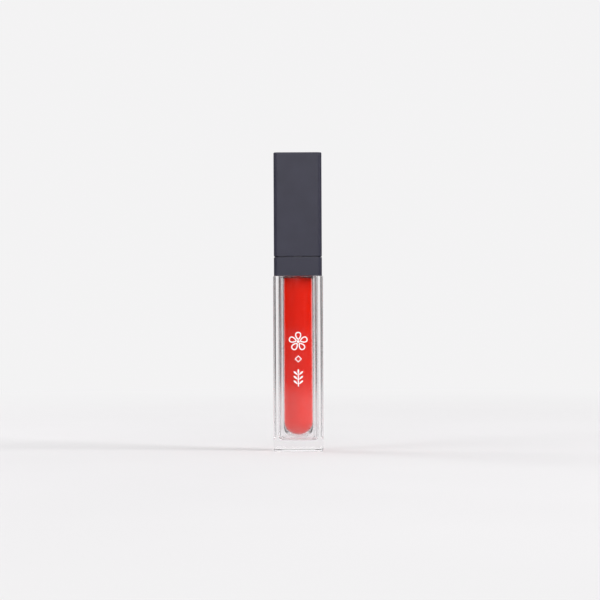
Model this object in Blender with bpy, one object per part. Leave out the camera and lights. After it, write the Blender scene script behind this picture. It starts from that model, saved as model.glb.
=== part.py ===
"""Square lip gloss tube with a screw cap and a wand, standing on its base.

Metres, +Z up along the tube's axis. The origin is the centre of the base's underside, and -Y is the
front. The clear square jacket holds a round vial whose threaded neck passes through the black collar
into the cap. The cap's inner part carries the wand, which hangs through the wiper into the gloss.
"""

import math

import bmesh
import bpy
from mathutils import Matrix, Vector

MM = 0.001

# Heights along the tube
JACKET_HEIGHT = 67.0 * MM
COLLAR_HEIGHT = 7.1 * MM
CAP_SEAM = 0.4 * MM
CAP_HEIGHT = 39.6 * MM
COLLAR_TOP = JACKET_HEIGHT + COLLAR_HEIGHT
CAP_BOTTOM = COLLAR_TOP + CAP_SEAM
CAP_TOP = CAP_BOTTOM + CAP_HEIGHT

# Clearance between neighbouring solids, and between the crests of the two threads
GAP = 0.3 * MM
CREST_GAP = 0.05 * MM

# Square jacket
JACKET_WIDTH = 19.0 * MM
JACKET_WALL = 1.9 * MM
JACKET_CORNER = 1.6 * MM
JACKET_FLOOR = 4.3 * MM
JACKET_FOOT_ROUND = 0.8 * MM
JACKET_RIM_ROUND = 0.25 * MM
CAVITY_CORNER = 2.4 * MM
CAVITY_FLOOR_ROUND = 5.2 * MM

# Round vial with its square shoulder and its neck
VIAL_RADIUS = 6.25 * MM
VIAL_WALL = 0.65 * MM
VIAL_FOOT_FLAT = 1.65 * MM
VIAL_BASE_THICKNESS = 1.06 * MM
SHOULDER_PLUG_DEPTH = 0.6 * MM
SHOULDER_THICKNESS = 1.5 * MM
SHOULDER_OVERHANG = 0.35 * MM
NECK_RADIUS = 5.2 * MM
NECK_BORE = 4.0 * MM
NECK_TOP = 86.5 * MM
NECK_CONE_START = 66.3 * MM
NECK_CONE_HEIGHT = 2.6 * MM

# Screw thread of the neck and the inner cap
THREAD_LEAD = 2.6 * MM
THREAD_TURNS = 1.5
THREAD_CREST = 5.8 * MM
THREAD_ROOT_WIDTH = 1.1 * MM
THREAD_CREST_WIDTH = 0.5 * MM
THREAD_START = 79.6 * MM

# Gloss, with the round channel in which the wand stands
GLOSS_TOP = 68.2 * MM
CHANNEL_RADIUS = 2.5 * MM

# Wiper
WIPER_FLANGE_RADIUS = 5.0 * MM
WIPER_FLANGE_THICKNESS = 0.7 * MM
WIPER_MOUTH = 3.0 * MM
WIPER_LIP = 1.75 * MM
WIPER_LIP_WALL = 0.5 * MM
WIPER_DEPTH = 9.0 * MM
WIPER_CONE_HEIGHT = 3.0 * MM

# Collar and cap
COLLAR_WIDTH = 18.3 * MM
COLLAR_WALL = 0.9 * MM
COLLAR_WEB = 1.2 * MM
CAP_WIDTH = 18.3 * MM
CAP_WALL = 1.1 * MM
CAP_ROOF = 1.5 * MM
CAP_CORNER = 1.5 * MM
CAP_INNER_CORNER = 0.7 * MM
CAP_TOP_ROUND = 0.45 * MM
BLACK_EDGE_ROUND = 0.2 * MM

# Inner cap
INSERT_RECESS = 0.4 * MM
INSERT_BORE = 6.4 * MM
INSERT_RADIUS = 7.2 * MM
INSERT_PLATE = 1.2 * MM
INSERT_CEILING = 89.2 * MM
INSERT_LEAD_IN = 0.5 * MM
SOCKET_RADIUS = 4.4 * MM
SOCKET_HEIGHT = 3.2 * MM
SOCKET_LIP = 0.5 * MM
FIN_COUNT = 8
FIN_THICKNESS = 1.0 * MM
FIN_INSET = 0.1 * MM
LONG_FIN_REACH = 10.2 * MM

# Gasket and wand
GASKET_RADIUS = 5.0 * MM
GASKET_THICKNESS = 1.1 * MM
STEM_RADIUS = 1.5 * MM
STEM_HEAD_RADIUS = 3.0 * MM
STEM_HEAD_THICKNESS = 1.7 * MM
STEM_END = 23.5 * MM
STEM_SOCKET = 1.0 * MM
STEM_SOCKET_DEPTH = 5.0 * MM
TIP_END = 9.4 * MM
FLOCK_RADIUS = 2.15 * MM
FLOCK_THICKNESS = 0.55 * MM
FLOCK_TOP = 22.0 * MM
SPIGOT_RADIUS = 0.7 * MM
NOSE_STRETCH = 1.25
SLANT_HEIGHT = 9.0 * MM
SLANT_DEPTH = 2.3 * MM

# Fineness of round shapes
ROUND_STEPS = 48
THIN_ROUND_STEPS = 24
CORNER_STEPS = 5
EDGE_STEPS = 3
ARC_STEPS = 8
NOSE_STEPS = 6
THREAD_STEPS_PER_TURN = 32
THREAD_RUN_OUT_STEPS = 4
THREAD_RUN_OUT_REACH = 0.3
SHARP_ANGLE = math.radians(32)
MERGE_DISTANCE = 0.001 * MM

# How far a cutting shape runs past the surface that it opens, and the slant's cutting block
OVERSHOOT = 1.0 * MM
SLANT_BLOCK = 40.0 * MM

AXIS_Z = Vector((0.0, 0.0, 1.0))
CENTRE = Vector((0.0, 0.0, 0.0))


def clear_scene():
    for thing in list(bpy.data.objects):
        bpy.data.objects.remove(thing, do_unlink=True)


def make_material(name, colour, roughness, transmission=0.0):
    material = bpy.data.materials.new(name)
    material.use_nodes = True
    shader = material.node_tree.nodes["Principled BSDF"]
    shader.inputs["Base Color"].default_value = (*colour, 1.0)
    shader.inputs["Roughness"].default_value = roughness
    shader.inputs["Metallic"].default_value = 0.0
    shader.inputs["Transmission Weight"].default_value = transmission
    material.diffuse_color = (*colour, 1.0)
    return material


def finish_mesh(name, bm):
    """Turns a bmesh into a smooth-shaded object with its faces pointing out."""
    bmesh.ops.recalc_face_normals(bm, faces=bm.faces)
    mesh = bpy.data.meshes.new(name)
    bm.to_mesh(mesh)
    bm.free()
    mesh.shade_smooth()
    mesh.set_sharp_from_angle(angle=SHARP_ANGLE)
    thing = bpy.data.objects.new(name, mesh)
    bpy.context.scene.collection.objects.link(thing)
    return thing


def combine(thing, other, operation):
    """Joins or cuts with another shape, which stays behind as a hidden wire guide."""
    other.hide_render = True
    other.display_type = "WIRE"
    modifier = thing.modifiers.new(f"{operation.lower()}_{other.name}", "BOOLEAN")
    modifier.operation = operation
    modifier.solver = "EXACT"
    modifier.object = other


def turned(name, outline, steps=ROUND_STEPS):
    """Spins a closed outline of (radius, height) points about the tube's axis."""
    bm = bmesh.new()
    points = [bm.verts.new((radius, 0.0, height)) for radius, height in outline]
    edges = [bm.edges.new(pair) for pair in zip(points, points[1:])]
    if outline[0][0] > 0.0:
        edges.append(bm.edges.new((points[-1], points[0])))
    bmesh.ops.spin(
        bm,
        geom=points + edges,
        cent=CENTRE,
        axis=AXIS_Z,
        angle=math.tau,
        steps=steps,
        use_merge=True,
        use_duplicate=False,
    )
    bmesh.ops.remove_doubles(bm, verts=bm.verts, dist=MERGE_DISTANCE)
    return finish_mesh(name, bm)


def arc(centre, radius, start, end, steps):
    """Points of an arc in the (radius, height) plane, with angles in degrees."""
    angles = [math.radians(start + (end - start) * i / steps) for i in range(steps + 1)]
    return [
        (centre[0] + radius * math.cos(angle), centre[1] + radius * math.sin(angle))
        for angle in angles
    ]


def square_loop(bm, half, corner, height):
    """Adds one level of a square with round corners, anticlockwise, and returns its edges."""
    points = []
    for quarter in range(4):
        turn = math.radians(90 * quarter)
        middle = Matrix.Rotation(turn, 3, "Z") @ Vector((half - corner, half - corner, 0.0))
        for step in range(CORNER_STEPS + 1):
            angle = turn + math.radians(90 * step / CORNER_STEPS)
            out = Vector((math.cos(angle), math.sin(angle), 0.0)) * corner
            points.append(bm.verts.new(middle + out + AXIS_Z * height))
    return [bm.edges.new(pair) for pair in zip(points, points[1:] + points[:1])]


def lofted_square(name, levels):
    """Closed solid through levels of (half width, corner radius, height), from the bottom up."""
    bm = bmesh.new()
    loops = [square_loop(bm, *level) for level in levels]
    for low, high in zip(loops, loops[1:]):
        bmesh.ops.bridge_loops(bm, edges=low + high)
    bmesh.ops.holes_fill(bm, edges=loops[0] + loops[-1], sides=0)
    return finish_mesh(name, bm)


def rounded_levels(half, corner, bottom, top, bottom_round, top_round, steps=EDGE_STEPS):
    """Levels of a square block whose bottom and top edges are rounded."""
    levels = []
    for step in range(steps + 1):
        angle = math.radians(90 * step / steps)
        inset = bottom_round * (1 - math.sin(angle))
        rise = bottom_round * (1 - math.cos(angle))
        levels.append((half - inset, corner - inset, bottom + rise))
    for step in range(steps + 1):
        angle = math.radians(90 * step / steps)
        inset = top_round * (1 - math.cos(angle))
        rise = top_round * (1 - math.sin(angle))
        levels.append((half - inset, corner - inset, top - rise))
    return levels


def square_block(name, half, corner, bottom, top):
    return lofted_square(name, [(half, corner, bottom), (half, corner, top)])


def round_block(name, radius, bottom, top):
    outline = [(0.0, bottom), (radius, bottom), (radius, top), (0.0, top)]
    return turned(name, outline)


def thread_ridge(name, wall, crest, start, turns):
    """Helical ridge from inside a wall to its crest, running out to nothing at both ends."""
    bm = bmesh.new()
    count = round(turns * THREAD_STEPS_PER_TURN)
    sections = []
    for step in range(count + 1):
        angle = math.tau * step / THREAD_STEPS_PER_TURN
        height = start + THREAD_LEAD * step / THREAD_STEPS_PER_TURN
        share = min(step, count - step, THREAD_RUN_OUT_STEPS) / THREAD_RUN_OUT_STEPS
        reach = wall + (crest - wall) * (
            THREAD_RUN_OUT_REACH + (1 - THREAD_RUN_OUT_REACH) * share
        )
        section = []
        for radius, offset in (
            (wall, -THREAD_ROOT_WIDTH / 2),
            (reach, -THREAD_CREST_WIDTH / 2),
            (reach, THREAD_CREST_WIDTH / 2),
            (wall, THREAD_ROOT_WIDTH / 2),
        ):
            place = (radius * math.cos(angle), radius * math.sin(angle), height + offset)
            section.append(bm.verts.new(place))
        sections.append(section)
    for here, there in zip(sections, sections[1:]):
        for side in range(4):
            after = (side + 1) % 4
            bm.faces.new((here[side], here[after], there[after], there[side]))
    bm.faces.new(sections[0])
    bm.faces.new(sections[-1])
    return finish_mesh(name, bm)


def slant_cutter(name, inset):
    """Block in front of the applicator's slanted face, moved inwards by inset."""
    bm = bmesh.new()
    bmesh.ops.create_cube(bm, size=SLANT_BLOCK)
    # the block's +Y face becomes the slanted plane
    bmesh.ops.translate(bm, verts=bm.verts, vec=(0.0, -SLANT_BLOCK / 2 + inset, 0.0))
    lean = math.atan2(SLANT_DEPTH, SLANT_HEIGHT)
    bmesh.ops.rotate(bm, verts=bm.verts, cent=CENTRE, matrix=Matrix.Rotation(lean, 3, "X"))
    foot = (0.0, SLANT_DEPTH - FLOCK_RADIUS, TIP_END)
    bmesh.ops.translate(bm, verts=bm.verts, vec=foot)
    return finish_mesh(name, bm)


def build_jacket(material):
    half = JACKET_WIDTH / 2
    jacket = lofted_square(
        "bottle_jacket",
        rounded_levels(
            half, JACKET_CORNER, 0.0, JACKET_HEIGHT, JACKET_FOOT_ROUND, JACKET_RIM_ROUND
        ),
    )
    inner = half - JACKET_WALL
    levels = []
    for step in range(ARC_STEPS + 1):
        angle = math.radians(90 * step / ARC_STEPS)
        inset = CAVITY_FLOOR_ROUND * (1 - math.sin(angle))
        rise = CAVITY_FLOOR_ROUND * (1 - math.cos(angle))
        levels.append((inner - inset, CAVITY_CORNER, JACKET_FLOOR + rise))
    levels.append((inner, CAVITY_CORNER, JACKET_HEIGHT + OVERSHOOT))
    combine(jacket, lofted_square("cut_jacket_cavity", levels), "DIFFERENCE")
    jacket.data.materials.append(material)
    return jacket


def round_bottom(radius, low, flat=0.0):
    """Outline of a round bottom from the axis to the full radius, flat out to a given radius."""
    dip = radius - math.sqrt(radius**2 - flat**2)
    start = -90 + math.degrees(math.asin(flat / radius))
    curve = arc((0.0, low + radius - dip), radius, start, 0, ARC_STEPS)
    return [(0.0, low)] + (curve if flat else curve[1:])


def build_vial(material):
    low = JACKET_FLOOR + GAP
    outline = round_bottom(VIAL_RADIUS, low, VIAL_FOOT_FLAT)
    outline += [
        (VIAL_RADIUS, JACKET_HEIGHT),
        (NECK_RADIUS, JACKET_HEIGHT),
        (NECK_RADIUS, NECK_TOP),
        (0.0, NECK_TOP),
    ]
    vial = turned("inner_vial", outline)
    plug_half = JACKET_WIDTH / 2 - JACKET_WALL - GAP
    flange_bottom = JACKET_HEIGHT + GAP
    plug = square_block(
        "join_vial_plug",
        plug_half,
        CAVITY_CORNER - GAP,
        JACKET_HEIGHT - SHOULDER_PLUG_DEPTH,
        flange_bottom + SHOULDER_THICKNESS / 2,
    )
    flange = square_block(
        "join_vial_flange",
        JACKET_WIDTH / 2 - JACKET_WALL + SHOULDER_OVERHANG,
        CAVITY_CORNER,
        flange_bottom,
        flange_bottom + SHOULDER_THICKNESS,
    )
    wall_middle = (NECK_RADIUS + NECK_BORE) / 2
    ridge = thread_ridge(
        "join_neck_thread", wall_middle, THREAD_CREST, THREAD_START, THREAD_TURNS
    )
    for piece in (plug, flange, ridge):
        combine(vial, piece, "UNION")
    inner = VIAL_RADIUS - VIAL_WALL
    bore = round_bottom(inner, low + VIAL_BASE_THICKNESS)
    bore += [
        (inner, NECK_CONE_START),
        (NECK_BORE, NECK_CONE_START + NECK_CONE_HEIGHT),
        (NECK_BORE, NECK_TOP + OVERSHOOT),
        (0.0, NECK_TOP + OVERSHOOT),
    ]
    combine(vial, turned("cut_vial_bore", bore), "DIFFERENCE")
    vial.data.materials.append(material)
    return vial


def build_gloss(material):
    radius = VIAL_RADIUS - VIAL_WALL - GAP
    low = JACKET_FLOOR + GAP + VIAL_BASE_THICKNESS + GAP
    cone_share = (GLOSS_TOP - NECK_CONE_START) / NECK_CONE_HEIGHT
    top_radius = radius - (VIAL_RADIUS - VIAL_WALL - NECK_BORE) * cone_share
    channel_end = TIP_END - GAP - CHANNEL_RADIUS / 2
    outline = round_bottom(radius, low)
    outline += [
        (radius, NECK_CONE_START),
        (top_radius, GLOSS_TOP),
        (CHANNEL_RADIUS, GLOSS_TOP),
        (CHANNEL_RADIUS, channel_end + CHANNEL_RADIUS / 2),
        (CHANNEL_RADIUS / 2, channel_end),
        (0.0, channel_end),
    ]
    gloss = turned("lip_gloss", outline)
    gloss.data.materials.append(material)
    return gloss


def build_wiper(material):
    outer = NECK_BORE - GAP
    flange_bottom = NECK_TOP + GAP
    flange_top = flange_bottom + WIPER_FLANGE_THICKNESS
    foot = flange_bottom - WIPER_DEPTH
    cone_top = foot + WIPER_CONE_HEIGHT
    outline = [
        (WIPER_LIP, foot),
        (WIPER_LIP + WIPER_LIP_WALL, foot),
        (outer, cone_top),
        (outer, flange_bottom),
        (WIPER_FLANGE_RADIUS, flange_bottom),
        (WIPER_FLANGE_RADIUS, flange_top),
        (WIPER_MOUTH, flange_top),
        (WIPER_MOUTH, cone_top),
    ]
    wiper = turned("wiper", outline)
    wiper.data.materials.append(material)
    return wiper


def build_collar(material):
    half = COLLAR_WIDTH / 2
    bottom = JACKET_HEIGHT + GAP
    collar = lofted_square(
        "collar",
        rounded_levels(half, CAP_CORNER, bottom, COLLAR_TOP, BLACK_EDGE_ROUND, BLACK_EDGE_ROUND),
    )
    inner = half - COLLAR_WALL
    hollow = square_block(
        "cut_collar_hollow", inner, CAP_CORNER, bottom - OVERSHOOT, COLLAR_TOP - COLLAR_WEB
    )
    hole = round_block("cut_collar_hole", THREAD_CREST + GAP, bottom, COLLAR_TOP + OVERSHOOT)
    combine(collar, hollow, "DIFFERENCE")
    combine(collar, hole, "DIFFERENCE")
    collar.data.materials.append(material)
    return collar


def build_cap_shell(material):
    half = CAP_WIDTH / 2
    shell = lofted_square(
        "cap_shell",
        rounded_levels(half, CAP_CORNER, CAP_BOTTOM, CAP_TOP, BLACK_EDGE_ROUND, CAP_TOP_ROUND),
    )
    hollow = square_block(
        "cut_cap_hollow",
        half - CAP_WALL,
        CAP_INNER_CORNER,
        CAP_BOTTOM - OVERSHOOT,
        CAP_TOP - CAP_ROOF,
    )
    combine(shell, hollow, "DIFFERENCE")
    shell.data.materials.append(material)
    return shell


def fin(name, reach, turn, bottom, top):
    """Upright rib from inside the inner cap's wall out to its reach."""
    root = (INSERT_RADIUS + INSERT_BORE) / 2
    bm = bmesh.new()
    bmesh.ops.create_cube(bm, size=1.0)
    bmesh.ops.scale(bm, verts=bm.verts, vec=(reach - root, FIN_THICKNESS, top - bottom))
    middle = ((reach + root) / 2, 0.0, (top + bottom) / 2)
    bmesh.ops.translate(bm, verts=bm.verts, vec=middle)
    bmesh.ops.rotate(
        bm, verts=bm.verts, cent=CENTRE, matrix=Matrix.Rotation(math.radians(turn), 3, "Z")
    )
    return finish_mesh(name, bm)


def build_cap_insert(material):
    bottom = CAP_BOTTOM + INSERT_RECESS
    ceiling_top = INSERT_CEILING + INSERT_PLATE
    socket_top = ceiling_top + SOCKET_HEIGHT
    insert = turned(
        "cap_insert",
        [
            (0.0, bottom),
            (INSERT_RADIUS, bottom),
            (INSERT_RADIUS, ceiling_top - INSERT_PLATE / 2),
            (SOCKET_RADIUS, ceiling_top - INSERT_PLATE / 2),
            (SOCKET_RADIUS, socket_top),
            (0.0, socket_top),
        ],
    )
    plate_half = CAP_WIDTH / 2 - CAP_WALL - GAP
    for name, low in (("join_low_plate", bottom), ("join_high_plate", INSERT_CEILING)):
        plate = square_block(name, plate_half, CAP_INNER_CORNER + GAP, low, low + INSERT_PLATE)
        combine(insert, plate, "UNION")
    for index in range(FIN_COUNT):
        # every second one points at a flat side and the others into the cap's corners
        reach = plate_half - FIN_INSET if index % 2 == 0 else LONG_FIN_REACH
        rib = fin(
            f"join_fin_{index}",
            reach,
            360 / FIN_COUNT * index,
            bottom + INSERT_PLATE / 2,
            INSERT_CEILING + INSERT_PLATE / 2,
        )
        combine(insert, rib, "UNION")
    head_room = STEM_HEAD_RADIUS + GAP
    stem_room = STEM_RADIUS + GAP
    bore = turned(
        "cut_insert_bore",
        [
            (0.0, bottom - OVERSHOOT),
            (INSERT_BORE + INSERT_LEAD_IN, bottom - OVERSHOOT),
            (INSERT_BORE + INSERT_LEAD_IN, bottom),
            (INSERT_BORE, bottom + INSERT_LEAD_IN),
            (INSERT_BORE, INSERT_CEILING),
            (stem_room, INSERT_CEILING),
            (stem_room, ceiling_top),
            (head_room, ceiling_top),
            (head_room, socket_top - 2 * SOCKET_LIP),
            (head_room - SOCKET_LIP, socket_top - SOCKET_LIP),
            (head_room - SOCKET_LIP, socket_top + OVERSHOOT),
            (0.0, socket_top + OVERSHOOT),
        ],
    )
    combine(insert, bore, "DIFFERENCE")
    ridge = thread_ridge(
        "join_insert_thread",
        (INSERT_RADIUS + INSERT_BORE) / 2,
        THREAD_CREST + CREST_GAP,
        THREAD_START - THREAD_LEAD / 2,
        THREAD_TURNS,
    )
    combine(insert, ridge, "UNION")
    insert.data.materials.append(material)
    return insert


def build_gasket(material):
    top = INSERT_CEILING - GAP
    bottom = top - GASKET_THICKNESS
    inner = STEM_RADIUS + GAP
    gasket = turned(
        "cap_gasket",
        [(inner, bottom), (GASKET_RADIUS, bottom), (GASKET_RADIUS, top), (inner, top)],
    )
    gasket.data.materials.append(material)
    return gasket


def build_stem(material):
    head_bottom = INSERT_CEILING + INSERT_PLATE + GAP
    head_top = head_bottom + STEM_HEAD_THICKNESS
    stem = turned(
        "wand_stem",
        [
            (0.0, STEM_END + STEM_SOCKET_DEPTH),
            (STEM_SOCKET, STEM_END + STEM_SOCKET_DEPTH),
            (STEM_SOCKET, STEM_END),
            (STEM_RADIUS, STEM_END),
            (STEM_RADIUS, head_bottom),
            (STEM_HEAD_RADIUS, head_bottom),
            (STEM_HEAD_RADIUS, head_top),
            (0.0, head_top),
        ],
        THIN_ROUND_STEPS,
    )
    stem.data.materials.append(material)
    return stem


def tip_outline(radius, low, high):
    """Bullet outline from the axis, round at its low end and flat at its high end."""
    nose = radius * NOSE_STRETCH
    points = []
    for step in range(NOSE_STEPS + 1):
        angle = math.radians(90 * step / NOSE_STEPS)
        points.append((radius * math.sin(angle), low + nose * (1 - math.cos(angle))))
    return points + [(radius, high), (0.0, high)]


def build_applicator(core_material, flock_material):
    hollow_radius = FLOCK_RADIUS - FLOCK_THICKNESS
    core_radius = hollow_radius - GAP
    flock = turned(
        "applicator_flock", tip_outline(FLOCK_RADIUS, TIP_END, FLOCK_TOP), THIN_ROUND_STEPS
    )
    combine(flock, slant_cutter("cut_flock_slant", 0.0), "DIFFERENCE")
    hollow = turned(
        "cut_flock_hollow",
        tip_outline(hollow_radius, TIP_END + FLOCK_THICKNESS, FLOCK_TOP + OVERSHOOT),
        THIN_ROUND_STEPS,
    )
    combine(hollow, slant_cutter("cut_hollow_slant", FLOCK_THICKNESS), "DIFFERENCE")
    combine(flock, hollow, "DIFFERENCE")
    flock.data.materials.append(flock_material)

    flange_bottom = FLOCK_TOP + GAP
    flange_top = STEM_END - GAP
    outline = tip_outline(core_radius, TIP_END + FLOCK_THICKNESS + GAP, flange_bottom)[:-1]
    outline += [
        (STEM_RADIUS, flange_bottom),
        (STEM_RADIUS, flange_top),
        (SPIGOT_RADIUS, flange_top),
        (SPIGOT_RADIUS, STEM_END + STEM_SOCKET_DEPTH - GAP),
        (0.0, STEM_END + STEM_SOCKET_DEPTH - GAP),
    ]
    core = turned("applicator_core", outline, THIN_ROUND_STEPS)
    combine(core, slant_cutter("cut_core_slant", FLOCK_THICKNESS + GAP), "DIFFERENCE")
    core.data.materials.append(core_material)
    return core, flock


def joint_empty(name, height, parent):
    """Empty on the tube's axis that carries one joint of the wand and cap."""
    empty = bpy.data.objects.new(name, None)
    empty.empty_display_size = 5 * MM
    bpy.context.scene.collection.objects.link(empty)
    empty.location = (0.0, 0.0, height)
    attach([empty], parent)
    return empty


def attach(things, parent):
    """Parents things without moving them in the world."""
    if parent is None:
        return
    bpy.context.view_layer.update()
    for thing in things:
        thing.parent = parent
        thing.matrix_parent_inverse = parent.matrix_world.inverted()


def main():
    clear_scene()
    clear = make_material("clear_plastic", (0.97, 0.95, 0.96), 0.04, 1.0)
    gloss_red = make_material("gloss_red", (0.64, 0.02, 0.008), 0.2)
    black = make_material("satin_black", (0.065, 0.065, 0.08), 0.42)
    natural = make_material("natural_plastic", (0.78, 0.78, 0.76), 0.4)
    foam = make_material("gasket_foam", (0.85, 0.85, 0.83), 0.8)
    wiper_plastic = make_material("wiper_plastic", (0.82, 0.82, 0.8), 0.35)
    flocking = make_material("flock_fibre", (0.55, 0.05, 0.04), 0.95)

    build_jacket(clear)
    build_vial(clear)
    build_gloss(gloss_red)
    build_wiper(wiper_plastic)
    build_collar(black)

    shell = build_cap_shell(black)
    insert = build_cap_insert(natural)
    gasket = build_gasket(foam)
    stem = build_stem(natural)
    core, flock = build_applicator(natural, flocking)

    pull = joint_empty("wand_pull_axis", CAP_BOTTOM, None)
    rise = joint_empty("thread_rise_axis", CAP_BOTTOM, pull)
    turn = joint_empty("cap_turn_axis", CAP_BOTTOM, rise)
    attach([gasket], pull)
    attach([stem], rise)
    attach([shell, insert, core, flock], turn)


main()
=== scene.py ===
import math
import random

import bmesh
import bpy
from mathutils import Matrix, Vector, noise


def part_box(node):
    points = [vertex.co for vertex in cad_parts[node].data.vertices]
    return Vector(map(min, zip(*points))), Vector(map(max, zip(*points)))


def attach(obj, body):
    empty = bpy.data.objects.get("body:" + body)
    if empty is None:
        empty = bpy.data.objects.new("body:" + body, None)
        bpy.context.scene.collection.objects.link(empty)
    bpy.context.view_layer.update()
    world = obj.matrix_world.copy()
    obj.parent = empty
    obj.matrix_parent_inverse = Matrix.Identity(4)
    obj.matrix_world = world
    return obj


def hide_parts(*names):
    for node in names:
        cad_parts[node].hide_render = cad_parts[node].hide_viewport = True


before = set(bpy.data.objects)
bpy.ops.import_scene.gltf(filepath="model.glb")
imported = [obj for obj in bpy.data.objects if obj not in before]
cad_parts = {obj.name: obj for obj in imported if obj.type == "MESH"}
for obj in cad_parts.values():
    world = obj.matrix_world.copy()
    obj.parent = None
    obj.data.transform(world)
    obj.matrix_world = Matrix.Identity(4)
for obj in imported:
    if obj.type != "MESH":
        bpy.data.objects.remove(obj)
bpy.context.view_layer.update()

# Looks of the square lip gloss tube: fine meshes, surface finishes, studio and camera. Metres, +Z up
# along the tube's axis, -Y at the front. A body of square or round section is a path of levels, each
# (half width, corner radius, height); a round level has a corner as large as its half width.

MM = 0.001

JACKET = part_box("bottle_jacket")
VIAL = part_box("inner_vial")
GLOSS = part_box("lip_gloss")
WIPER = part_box("wiper")
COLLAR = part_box("collar")
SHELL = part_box("cap_shell")
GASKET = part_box("cap_gasket")
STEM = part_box("wand_stem")
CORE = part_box("applicator_core")
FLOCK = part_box("applicator_flock")

# Roundings of edges, from the sharpest to the softest. A rounding takes at most ROUNDING_SHARE of the
# stretch on each side of its edge.
SHARP = 0.05 * MM
CRISP = 0.1 * MM
EASED = 0.15 * MM
SOFT = 0.2 * MM
MILD = 0.25 * MM
BLUNT = 0.3 * MM
WIDE = 0.4 * MM
FULL = 0.6 * MM
ROUNDEST = 0.8 * MM
ROUNDING_SHARE = 0.49

# Jacket
JACKET_WALL = 1.9 * MM
JACKET_CORNER = 1.6 * MM
JACKET_FLOOR = 4.3 * MM
CAVITY_CORNER = 2.4 * MM
CAVITY_FLOOR_ROUND = 1.6 * MM
RECESS_HALF = 6.7 * MM
RECESS_DEPTH = 0.25 * MM

# Vial and its thread. Its bowls end in a small flat foot, and the straight walls above them are taken
# up at a level counted in radii.
VIAL_RADIUS = 6.25 * MM
VIAL_WALL = 0.33 * MM
VIAL_BASE = 1.06 * MM
VIAL_FOOT_FLAT = 1.65 * MM
VIAL_STRAIGHT_FROM = 1.5
INNER_FOOT_FLAT = 0.25 * MM
INNER_STRAIGHT_FROM = 1.2
PLUG_DEPTH = 0.6 * MM
PLUG_HALF = 7.3 * MM
PLUG_CORNER = 2.1 * MM
FLANGE_RISE = 0.3 * MM
FLANGE_THICKNESS = 1.5 * MM
FLANGE_CORNER = 2.4 * MM
NECK_RADIUS = 5.2 * MM
NECK_BORE = 4.0 * MM
NECK_FOOT = 3.0 * MM
NECK_MOUTH = 0.8 * MM
CONE_START = 66.3 * MM
CONE_HEIGHT = 2.6 * MM
THREAD_LEAD = 2.6 * MM
THREAD_TURNS = 1.5
THREAD_RISE = 0.6 * MM
THREAD_ROOT = 1.1 * MM
THREAD_CREST = 0.5 * MM
THREAD_START = 79.6 * MM
THREAD_RUN_OUT = 0.12
THREAD_LEVEL_STEP = 0.1 * MM

# Gloss, held off the vial's wall by a thin film of air, with a channel in which the wand stands
GLOSS_FILM_GAP = 0.05 * MM
GLOSS_FOOT_GAP = 0.03 * MM
MENISCUS_WIDTH = 0.5 * MM
MENISCUS_DEPTH = 0.25 * MM
CHANNEL_RADIUS = 2.5 * MM
CHANNEL_FLARE = 0.3 * MM
CHANNEL_FLARE_DEPTH = 0.6 * MM
CHANNEL_FOOT_SHARE = 0.6
CHANNEL_END_RADIUS = 0.4 * MM
CHANNEL_END_DROP = 0.7 * MM

# Wiper
WIPER_LIP = 1.75 * MM
WIPER_LIP_WALL = 0.5 * MM
WIPER_CONE = 3.0 * MM
WIPER_FLANGE = 0.7 * MM
WIPER_MOUTH = 3.0 * MM
WIPER_BODY = 3.7 * MM

# Collar and cap. The low bead inside the collar's top edge keeps the seam under the cap dark.
BLACK_CORNER = 1.5 * MM
COLLAR_WALL = 0.9 * MM
COLLAR_WEB = 1.2 * MM
COLLAR_HOLE = 6.1 * MM
COLLAR_REST = 0.02 * MM
COLLAR_BEAD_INSET = 0.45 * MM
COLLAR_BEAD_RISE = 0.34 * MM
CAP_WALL = 1.1 * MM
CAP_ROOF = 1.5 * MM
CAP_INNER_CORNER = 0.7 * MM
CAP_TOP_ROUND = 0.45 * MM
CAP_CEILING_INSET = 1.0 * MM

# Wand
PIECE_GAP = 0.3 * MM
STEM_RADIUS = 1.5 * MM
STEM_HEAD = 1.7 * MM
STEM_SOCKET = 1.0 * MM
STEM_SOCKET_DEPTH = 5.0 * MM
STEM_SOCKET_END = 0.4 * MM
FLOCK_THICKNESS = 0.55 * MM
FLOCK_SIDE_END = 0.4 * MM
FLOCK_LIP = 0.3 * MM
NOSE_STRETCH = 1.25
SLANT_HEIGHT = 9.0 * MM
SLANT_DEPTH = 2.3 * MM
CORE_GAP = 0.3 * MM
CORE_IN_SLEEVE = 1.5 * MM
CORE_TAPER = 0.5 * MM
CORE_END_SHARE = 0.5
CORE_EDGE = 0.12 * MM
SPIGOT_RADIUS = 0.7 * MM
FIBRE_SEED = 7
FIBRE_COUNT = 2200
FIBRE_LENGTH = (0.16 * MM, 0.32 * MM)
FIBRE_WIDTH = 0.03 * MM
FIBRE_LEAN = 0.35
FIBRE_FACE_LIMIT = 0.5 * MM**2
FIBRE_LEAST_SHARE = 0.05

# Film of gloss on the stem: its thickness waves round and along the stem and thins out at the top
FILM_THICKNESS = 0.045 * MM
FILM_BACK = 0.05 * MM
FILM_START = 0.2 * MM
FILM_TOP = 66.0 * MM
FILM_WAVES_ROUND = 1.3
FILM_WAVE_HEIGHT = 3.5 * MM
FILM_LEAST = 0.35
FILM_THINS_FROM = 0.55
FILM_THINS_BY = 3.2

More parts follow.
